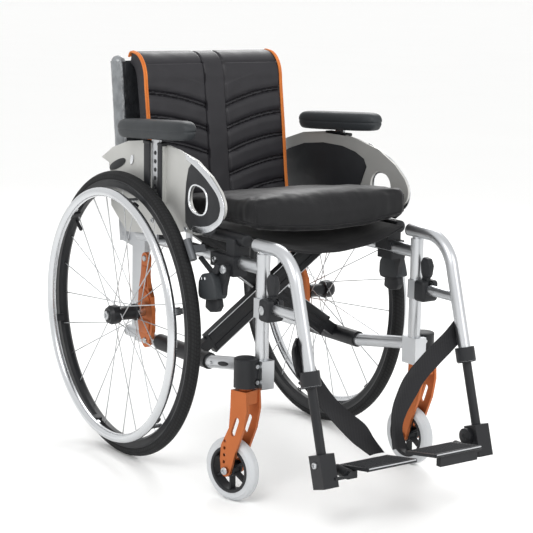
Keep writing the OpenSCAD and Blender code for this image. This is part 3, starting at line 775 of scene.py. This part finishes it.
class WHEELCHAIR_OT_arm_pads(bpy.types.Operator):
    """Adds the moulded arm pads"""
    bl_idname = "wheelchair.arm_pads"
    bl_label = "Arm pads"

    def execute(self, context):
        for side, _ in SIDES:
            low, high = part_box(side + "_arm_pad")
            middle, half_x, half_y = (low + high) / 2, (high.x - low.x) / 2, (high.y - low.y) / 2
            levels = [(0.0, 0.80, 0.90), (0.10, 0.90, 0.95), (0.30, 0.965, 0.985), (0.42, 0.985, 0.994),
                      (0.455, 0.945, 0.978), (0.49, 0.985, 0.994), (0.56, 1.0, 1.0), (0.72, 0.985, 0.99),
                      (0.88, 0.90, 0.95), (0.97, 0.74, 0.88), (1.0, 0.50, 0.78)]
            rows = []
            for share, wide, long in levels:
                ring = []
                for i in range(72):
                    a = 2 * math.pi * i / 72
                    c, q = math.cos(a), math.sin(a)
                    x = half_x * wide * math.copysign(abs(c) ** 0.62, c)
                    y = half_y * long * math.copysign(abs(q) ** 0.38, q)
                    tip = 1 - 0.10 * max(0.0, -y / half_y) ** 2
                    y = y * 0.94 + 0.008
                    z = low.z - 0.001 + (high.z - low.z + 0.003) * share - y * math.tan(math.radians(3.3))
                    ring.append(Vector((middle.x + x * tip, middle.y + y, z)))
                rows.append(ring)
            for end, row in ((0, rows[0]), (1, rows[-1])):
                centre = sum(row, Vector()) / len(row)
                inner = [[centre + (p - centre) * k for p in row] for k in (0.6, 0.2, 0.0)]
                rows = list(reversed(inner)) + rows if end == 0 else rows + inner
            pad = shell("pad", rows, closed_v=True)
            apply_modifier(pad, "SUBSURF", levels=1, render_levels=1)
            finish(pad, side + "_arm_cushion", "foam_skin", side + "_arm", 50,
                   [side + "_arm_pad"])
        return {"FINISHED"}


# ---- trim --------------------------------------------------------------------

def ring_points(centre, half_y, half_z, count=40, tilt=0.0, power=1.0):
    """Points round an oval in a side-on plane."""
    made = []
    for i in range(count):
        a = 2 * math.pi * i / count
        y = half_y * math.copysign(abs(math.cos(a)) ** power, math.cos(a))
        z = half_z * math.copysign(abs(math.sin(a)) ** power, math.sin(a))
        made.append(at(centre[0], centre[1] + y * math.cos(tilt) - z * math.sin(tilt),
                       centre[2] + y * math.sin(tilt) + z * math.cos(tilt)))
    return made


class WHEELCHAIR_OT_guard_trim(bpy.types.Operator):
    """Adds the side guards' inserts, liners, lips, channels, slots and height holes"""
    bl_idname = "wheelchair.guard_trim"
    bl_label = "Side guard trim"

    def execute(self, context):
        for side, s in SIDES:
            body = side + "_side"
            hole = ring_points((s * 227.3, -254, 570), 33.2, 28.2, 44, math.radians(8), 0.8)
            panel = side_plate(s, 227.3, [
                (-300, 506), (-262, 507), (-222, 507), (-206, 520), (-204, 560), (-208, 600), (-216, 628),
                (-226, 638), (-244, 636), (-276, 622), (-306, 602), (-326, 582), (-334, 562), (-328, 536),
                (-314, 516)], 2.2, 0.8)
            liner = side_plate(s, 220.2, [
                (118, 600), (80, 617), (20, 635), (-50, 643), (-120, 642), (-165, 634), (-196, 622),
                (-206, 606), (-197, 588), (-187, 566), (-187, 540), (-192, 524), (96, 524), (98, 580)], 1.6)
            finish(liner, side + "_guard_liner", "moulded_nylon", body)
            cut(panel, plate([p - Vector((s * 0.02, 0, 0)) for p in hole], Vector((s * 0.04, 0, 0)), 0))
            finish(panel, side + "_guard_insert", "moulded_nylon", body)
            rim = tube([p + Vector((s * 0.0025, 0, 0)) for p in hole], 2.6, closed=True)
            finish(rim, side + "_grip_rim", "chrome", body)
            lip_line = [(-202, 656), (-244, 645), (-282, 629), (-312, 609), (-334, 590), (-344, 572),
                        (-345, 556), (-336, 537), (-318, 524), (-296, 513), (-262, 505), (-228, 504)]
            edge = [along(lip_line, i / 30) for i in range(31)]
            inner = [p + (Vector((-250, 572)) - p).normalized() * 14 for p in reversed(edge)]
            lip = side_plate(s, 227.2, edge + inner, 2.6, 1.0, 3)
            finish(lip, side + "_guard_lip", "polished_aluminium", body)
            rails = [plate([at(s * x, y, 548) for x, y in section], Vector((0, 0, 0.117)), 0.6)
                     for section in ([(236.2, -129), (239.2, -127), (239.2, -114), (236.2, -113)],
                                     [(236.2, -83), (239.2, -82), (239.2, -60), (236.2, -57.5)])]
            cap = block(at(s * 222, -131, 663), at(s * 239.5, -56, 669.5), 1.5)
            cut(cap, block(at(s * 227.6, -113.5, 655), at(s * 245, -82.5, 675), 0))
            finish(join(rails + [cap]), side + "_guard_channel", "moulded_nylon", body)
            scoop = plate(ring_points((s * 227.2, 70, 606), 36, 9, 24, math.radians(-20), 0.9),
                          Vector((s * 0.001, 0, 0)), 0.3)
            finish(scoop, side + "_guard_slot", "moulded_nylon", body)
            plug = [(4.4, 0), (4.4, 0.8), (3.6, 1.0), (3.2, 0.2), (0.01, 0.2)]
            plugs = [disc(at(s * 234.3, -98, 562 + 17 * i), (s, 0, 0), plug, 20) for i in range(6)]
            finish(join(plugs), side + "_height_holes", "moulded_nylon", side + "_arm")
            bead = plate(ring_points((s * 227.2, 8, 622), 11, 6, 24, math.radians(-70)),
                         Vector((s * 0.002, 0, 0)), 0.8)
            finish(bead, side + "_guard_bead", "chrome", body)
        return {"FINISHED"}


class WHEELCHAIR_OT_frame_trim(bpy.types.Operator):
    """Adds the frame's end caps, bolts, axle plate ribs and tube slots"""
    bl_idname = "wheelchair.frame_trim"
    bl_label = "Frame trim"

    def execute(self, context):
        dome = lambda r: [(r, 0.3), (r, 3.0), (r * 0.9, 4.6), (r * 0.6, 5.6), (0.01, 6.0)]
        for side, s in SIDES:
            body = side + "_side"
            rail_body = "rear_cross" if side == "right" else "front_cross"
            caps = [disc(at(s * 188, -362, 502), (0, -1, 0), dome(12.4)),
                    disc(at(s * 188, 58, 502), (0, 1, 0), dome(12.4))]
            finish(join(caps), side + "_rail_caps", "moulded_nylon", rail_body)
            caps = [disc(at(s * 188, 84, 240), (0, 1, 0), dome(12.9)),
                    disc(at(s * 188, -398, 500), (0, 1, 0), dome(12.4))]
            finish(caps[0], side + "_tube_cap", "moulded_nylon", body)
            finish(caps[1], side + "_hanger_cap", "moulded_nylon", side + "_hanger")
            places = ((205, -6, 414, 6.5, 3.6), (205, -8, 238, 6.5, 3.6), (201, -420, 270, 5.5, 3.0),
                      (201, -420, 244, 5.5, 3.0), (211, -286, 457, 6.0, 3.4), (227, -75, 506, 5.5, 2.8),
                      (227, -205, 506, 5.5, 2.8))
            heads = [bolt(at(s * x, y, z), (s, 0, 0), radius, height) for x, y, z, radius, height in places]
            finish(join(heads), side + "_frame_bolts", "zinc_steel", body)
            ribs = [side_plate(s, 205.0, shape, 2.2, 0.8)
                    for shape in ([(-14, 398), (3, 398), (5, 360), (-12, 352)],
                                  [(-15, 344), (8, 352), (14, 330), (12, 318), (-26, 318), (-27, 330)],
                                  [(-27, 284), (14, 284), (13, 262), (8, 254), (-19, 254), (-26, 266)])]
            finish(join(ribs), side + "_axle_plate_ribs", "orange_anodising", body)
            slot = plate(ring_points((s * 200.8, -305, 250.6), 19, 4.6, 28, math.radians(-9.4)),
                         Vector((s * 0.0008, 0, 0)), 0.2)
            finish(slot, side + "_tube_slot", "moulded_nylon", body)
        return {"FINISHED"}


class WHEELCHAIR_OT_cross_trim(bpy.types.Operator):
    """Adds the cross bars' raised webs and bright edges"""
    bl_idname = "wheelchair.cross_trim"
    bl_label = "Cross bar trim"

    def execute(self, context):
        angle = math.atan2(262, 376)
        length = math.hypot(262, 376)
        for name, s, front in (("front_cross", 1, -186), ("rear_cross", -1, -166)):
            def strip(v0, v1, proud):
                """A strip along the bar's front face, from v0 to v1 above its centre line."""
                corners = [(46, v0), (length - 52, v0), (length - 52, v1), (46, v1)]
                points = [at(s * (-188 + u * math.cos(angle) - v * math.sin(angle)), front + 0.4,
                             240 + u * math.sin(angle) + v * math.cos(angle)) for u, v in corners]
                return plate(points, Vector((0, -(proud + 0.4) / 1000, 0)), 0.7)

            webs = join([strip(-24.5, -11, 1.6), strip(1, 15.5, 1.6)])
            finish(webs, name + "_webs", "black_powder_coat", name)
            edges = join([strip(-27, -25.2, 1.0), strip(16.2, 18, 1.0)])
            finish(edges, name + "_edges", "anodised_aluminium", name)
        return {"FINISHED"}


class WHEELCHAIR_OT_brake_trim(bpy.types.Operator):
    """Adds the brakes' paddles, feet, studs, links and pivots"""
    bl_idname = "wheelchair.brake_trim"
    bl_label = "Brake trim"

    def execute(self, context):
        for side, s in SIDES:
            paddle = side_plate(s, 210.7, [
                (-281, 430), (-310, 437), (-323, 424), (-330, 405), (-335, 389), (-318, 384),
                (-290, 380), (-273, 381), (-269, 392), (-270, 414)], 29, 5.0, 4)
            finish(paddle, side + "_brake_paddle", "foam_skin", side + "_brake")
            foot = side_plate(s, 216, [
                (-284, 384), (-326, 388), (-331, 372), (-322, 360), (-300, 356), (-282, 362)], 14, 2.5, 3)
            finish(foot, side + "_brake_foot", "moulded_nylon", side + "_brake")
            dots = [bolt(at(s * 239.6, y, z), (s, 0, 0), 3.6, 2.0, False)
                    for y, z in ((-283, 421), (-296, 423))]
            finish(join(dots), side + "_brake_studs", "chrome", side + "_brake")
            link = side_plate(s, 223, [
                (-262, 462), (-254, 456), (-306, 428), (-324, 436), (-330, 452), (-318, 456),
                (-306, 440)], 7, 1.5)
            finish(link, side + "_brake_link", "moulded_nylon", side + "_side")
            hub = disc(at(s * 222, -336, 446), (s, 0, 0),
                       [(9, 0), (9, 3.5), (7.5, 5), (4, 5.2), (3.6, 3.8), (0.01, 3.6)], 32)
            finish(hub, side + "_brake_pivot", "zinc_steel", side + "_brake")
        return {"FINISHED"}


class WHEELCHAIR_OT_wheel_trim(bpy.types.Operator):
    """Adds the rear wheels' ring tabs, rim walls, valves and axle caps"""
    bl_idname = "wheelchair.wheel_trim"
    bl_label = "Wheel trim"

    def execute(self, context):
        for side, s in SIDES:
            centre = at(s * 255.7, 0, 300)
            pieces = []
            for i in range(6):
                turn = Matrix.Rotation(math.radians(60 * i + 18), 4, "X")
                tab = block(Vector((-0.014, -0.008, 0.2505)), Vector((0.014, 0.008, 0.2565)), 1.6)
                tab.data.transform(Matrix.Translation(at(s * 279, 0, 300)) @ turn)
                pieces.append(tab)
            finish(join(pieces), side + "_ring_tabs", "moulded_nylon", side + "_wheel")
            wall = [(262.5, 3.5), (266, 9.5), (279.5, 11.3), (281.5, 12.2), (282.5, 11.6), (281.5, 10.6)]
            walls = [disc(centre, (out, 0, 0), wall, 96) for out in (-1, 1)]
            finish(join(walls), side + "_rim_walls", "black_powder_coat", side + "_wheel")
            outwards = Vector((0, math.cos(0.7), math.sin(0.7)))
            valve = disc(centre + outwards * 0.2625, -outwards,
                         [(3.2, 0), (3.2, 6), (4, 7), (4, 24), (3, 27), (0.01, 27.5)], 20)
            finish(valve, side + "_valve", "moulded_nylon", side + "_wheel")
            cap = disc(at(s * 294.5, 0, 300), (s, 0, 0),
                       [(9.2, -3.8), (9.2, 0.4), (8, 1.4), (4.2, 1.6), (4.0, 0.4)], 36)
            finish(cap, side + "_axle_cap", "zinc_steel", side + "_axle")
        return {"FINISHED"}


class WHEELCHAIR_OT_caster_trim(bpy.types.Operator):
    """Adds the casters' bolts, wheel faces and housing caps"""
    bl_idname = "wheelchair.caster_trim"
    bl_label = "Caster trim"

    def execute(self, context):
        for joint in frame["joints"]:
            if not joint["name"].endswith("caster_spin"):
                continue
            side = joint["name"].split("_")[0]
            centre, axis = Vector(joint["pos_m"]), Vector(joint["axis"]).normalized()
            heads = [bolt(centre + axis * 0.0245 * out, axis * out, 7.5, 3.4) for out in (-1, 1)]
            finish(join(heads), side + "_caster_bolts", "zinc_steel", side + "_fork")
            ring = [(46, -0.5), (46, 1.0), (44, 1.6), (40.5, 1.2), (39.5, -1)]
            hub = [(14, -4), (14, 1.2), (12, 2.2), (8, 2.2), (7.6, 1.0), (4.2, 1.0)]
            faces = [disc(centre + axis * 0.0115 * out, axis * out, profile, steps)
                     for profile, steps in ((ring, 48), (hub, 32)) for out in (-1, 1)]
            finish(join(faces), side + "_caster_faces", "moulded_nylon", side + "_caster")
            cap = disc(at((-1 if side == "right" else 1) * 219, -412, 285), (0, 0, 1),
                       [(22.6, -0.4), (22.6, 1.5), (20, 3), (9, 3.8), (0.01, 4)], 40)
            finish(cap, side + "_housing_cap", "moulded_nylon", side + "_side")
        return {"FINISHED"}


class WHEELCHAIR_OT_footrests(bpy.types.Operator):
    """Adds the foot plates' ribs and edge bars, the stems' notches and knuckles, and the latches' trim"""
    bl_idname = "wheelchair.footrests"
    bl_label = "Foot rests"

    def execute(self, context):
        tilt = math.radians(10)
        for side, s in SIDES:
            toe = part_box(side + "_foot_plate")[0].y

            def top(x, d, lift=0.0):
                """A place on the plate's top, d millimetres from its toe edge."""
                y = toe + (d * math.cos(tilt)) / 1000
                z = 0.109 + (88 - d) * math.sin(tilt) / 1000 + (6 + lift) * math.cos(tilt) / 1000
                return Vector((s * x / 1000, y + 0.001, z))

            ribs = [tube([top(30, 12 + i * 8.4, -0.4), top(130, 12 + i * 8.4, -0.4)], 1.7, resolution=2)
                    for i in range(9)]
            finish(join(ribs), side + "_plate_ribs", "moulded_nylon", side + "_plate")
            bar = tube([top(23, 2, -3.2), top(137, 2, -3.2)], 3.8, resolution=4)
            finish(bar, side + "_plate_bar", "black_powder_coat", side + "_plate")
            # A thin bright aluminium rod in front of the black edge bar, placed where the bar shows a long
            # highlight: a painted highlight.
            line = tube([top(25, -1.2, -1.6), top(135, -1.2, -1.6)], 1.2, resolution=3)
            finish(line, side + "_plate_highlight_rod", "anodised_aluminium", side + "_plate")
            slope = math.radians(73.7)
            down = Vector((0, -math.cos(slope), -math.sin(slope)))
            head = at(s * 188, -528.3, 446.05)
            rear = Vector((0, math.sin(slope), -math.cos(slope)))
            notch = [(3.2, -1), (3.2, 0.9), (2.4, 1.0), (2.2, 0.1), (0.01, 0.1)]
            notches = [disc(head + down * (0.276 + i * 0.0095) + rear * 0.0085, rear, notch, 14)
                       for i in range(4)]
            finish(join(notches), side + "_stem_notches", "moulded_nylon", side + "_stem")
            ring = disc(head + down * 0.1895, down,
                        [(19.2, -29), (19.2, -2), (17.5, 0.8), (10, 1.2), (9.6, -3)], 40)
            finish(ring, side + "_collar_skin", "moulded_nylon", side + "_hanger")
            face = disc(at(s * 164, -612, 124), (-s, 0, 0),
                        [(16, -1), (16, 1.2), (14.5, 2), (6, 2), (5, 0.8), (0.01, 0.8)], 36)
            finish(face, side + "_knuckle_face", "moulded_nylon", side + "_stem")
            screw = bolt(at(s * 205, -620, 128), (s, 0, 0), 6.5, 3.6)
            finish(screw, side + "_stem_bolt", "zinc_steel", side + "_stem")
            clamp = block(at(s * 168.5, -466.5, 362.5), at(s * 209.5, -434.5, 405.5), 7, 4)
            cut(clamp, block(at(s * 181, -470, 386), at(s * 195, -440, 420), 0))
            finish(clamp, side + "_latch_clamp", "moulded_nylon", side + "_hanger")
            paddle = side_plate(s, 181.6, [
                (-462, 411), (-446, 410), (-441, 420), (-438, 440), (-446, 452), (-462, 450),
                (-469, 436), (-466, 418)], 12.8, 3.0, 3)
            finish(paddle, side + "_latch_paddle", "moulded_nylon", side + "_latch")
            stud = disc(at(s * 209.2, -449, 385), (s, 0, 0),
                        [(9, -1), (9, 2.5), (7, 3.6), (3.4, 3.8), (0.01, 3.0)], 28)
            finish(stud, side + "_latch_stud", "zinc_steel", side + "_hanger")
        return {"FINISHED"}


# ---- stage -------------------------------------------------------------------

class WHEELCHAIR_OT_stage(bpy.types.Operator):
    """Adds the floor, the lights and the camera"""
    bl_idname = "wheelchair.stage"
    bl_label = "Studio"

    def execute(self, context):
        tree, shader, coords = start("studio_paint", Roughness=0.55)
        two_tone(tree, shader, grain(tree, coords, 900), "#f9f9f8", "#fcfcfb")
        bump(tree, shader, [(grain(tree, coords, 3.0), 0.05)])
        only()
        bpy.ops.mesh.primitive_plane_add(size=160, location=(0, 0, 0))
        floor = context.object
        floor.name = "studio_floor"
        floor.data.materials.append(MATERIALS["studio_paint"])
        world = context.scene.world or bpy.data.worlds.new("studio")
        context.scene.world = world
        world.use_nodes = True
        sky = next(n for n in world.node_tree.nodes if n.type == "BACKGROUND")
        sky.inputs["Color"].default_value = linear("#ffffff")
        sky.inputs["Strength"].default_value = 1.01
        lights = (("key", (-1.9, -1.5, 2.4), 34, 1.3), ("front", (0.6, -3.0, 1.8), 20, 1.6),
                  ("rim", (1.6, 1.8, 2.2), 34, 1.4))
        for name, place, power, size in lights:
            only()
            bpy.ops.object.light_add(type="AREA", location=place)
            lamp = context.object
            lamp.name = name
            lamp.data.energy = power
            lamp.data.size = size
            lamp.rotation_euler = (Vector((0, 0, 0.4)) - Vector(place)).to_track_quat("-Z", "Y").to_euler()
        self.camera(context)
        context.scene.view_settings.view_transform = "Standard"
        return {"FINISHED"}

    @staticmethod
    def camera(context):
        """Looks from the chair's front right, a little above the arm pads."""
        azimuth, height, roll = math.radians(-34.67), math.radians(10.49), math.radians(0.96)
        right = Vector((math.cos(azimuth), math.sin(azimuth), 0))
        level = Vector((math.sin(azimuth), -math.cos(azimuth), 0))
        back = level * math.cos(height) + Vector((0, 0, math.sin(height)))
        up = back.cross(right)
        across = right * math.cos(roll) + up * math.sin(roll)
        upright = up * math.cos(roll) - right * math.sin(roll)
        data = bpy.data.cameras.new("camera")
        data.sensor_width = 36
        data.lens = 106.4
        camera = bpy.data.objects.new("camera", data)
        context.scene.collection.objects.link(camera)
        turn = Matrix((across, upright, back)).transposed().to_4x4()
        camera.matrix_world = Matrix.Translation(Vector((-1.844, AXLE_Y - 2.825, 1.003))) @ turn
        context.scene.camera = camera


OPERATORS = (
    WHEELCHAIR_OT_stage, WHEELCHAIR_OT_materials, WHEELCHAIR_OT_cushion, WHEELCHAIR_OT_sling,
    WHEELCHAIR_OT_back_cover, WHEELCHAIR_OT_back_straps, WHEELCHAIR_OT_calf_straps,
    WHEELCHAIR_OT_arm_pads, WHEELCHAIR_OT_guard_trim, WHEELCHAIR_OT_frame_trim,
    WHEELCHAIR_OT_cross_trim, WHEELCHAIR_OT_brake_trim, WHEELCHAIR_OT_wheel_trim,
    WHEELCHAIR_OT_caster_trim, WHEELCHAIR_OT_footrests,
)


class WHEELCHAIR_PT_panel(bpy.types.Panel):
    """Lists the wheelchair's pieces"""
    bl_idname = "WHEELCHAIR_PT_panel"
    bl_label = "Wheelchair"
    bl_space_type = "VIEW_3D"
    bl_region_type = "UI"
    bl_category = "Wheelchair"

    def draw(self, context):
        for name in WheelchairSizes.__annotations__:
            self.layout.prop(context.scene.wheelchair_sizes, name)
        for operator in OPERATORS:
            self.layout.operator(operator.bl_idname)


CLASSES = (WheelchairSizes, *OPERATORS, WHEELCHAIR_PT_panel)


def register():
    for cls in CLASSES:
        bpy.utils.register_class(cls)
    bpy.types.Scene.wheelchair_sizes = bpy.props.PointerProperty(type=WheelchairSizes)


def unregister():
    del bpy.types.Scene.wheelchair_sizes
    for cls in reversed(CLASSES):
        bpy.utils.unregister_class(cls)


def main():
    """Registers the add-on and builds every piece in order."""
    register()
    for operator in OPERATORS:
        group, name = operator.bl_idname.split(".")
        getattr(getattr(bpy.ops, group), name)()


if __name__ == "__main__":
    main()
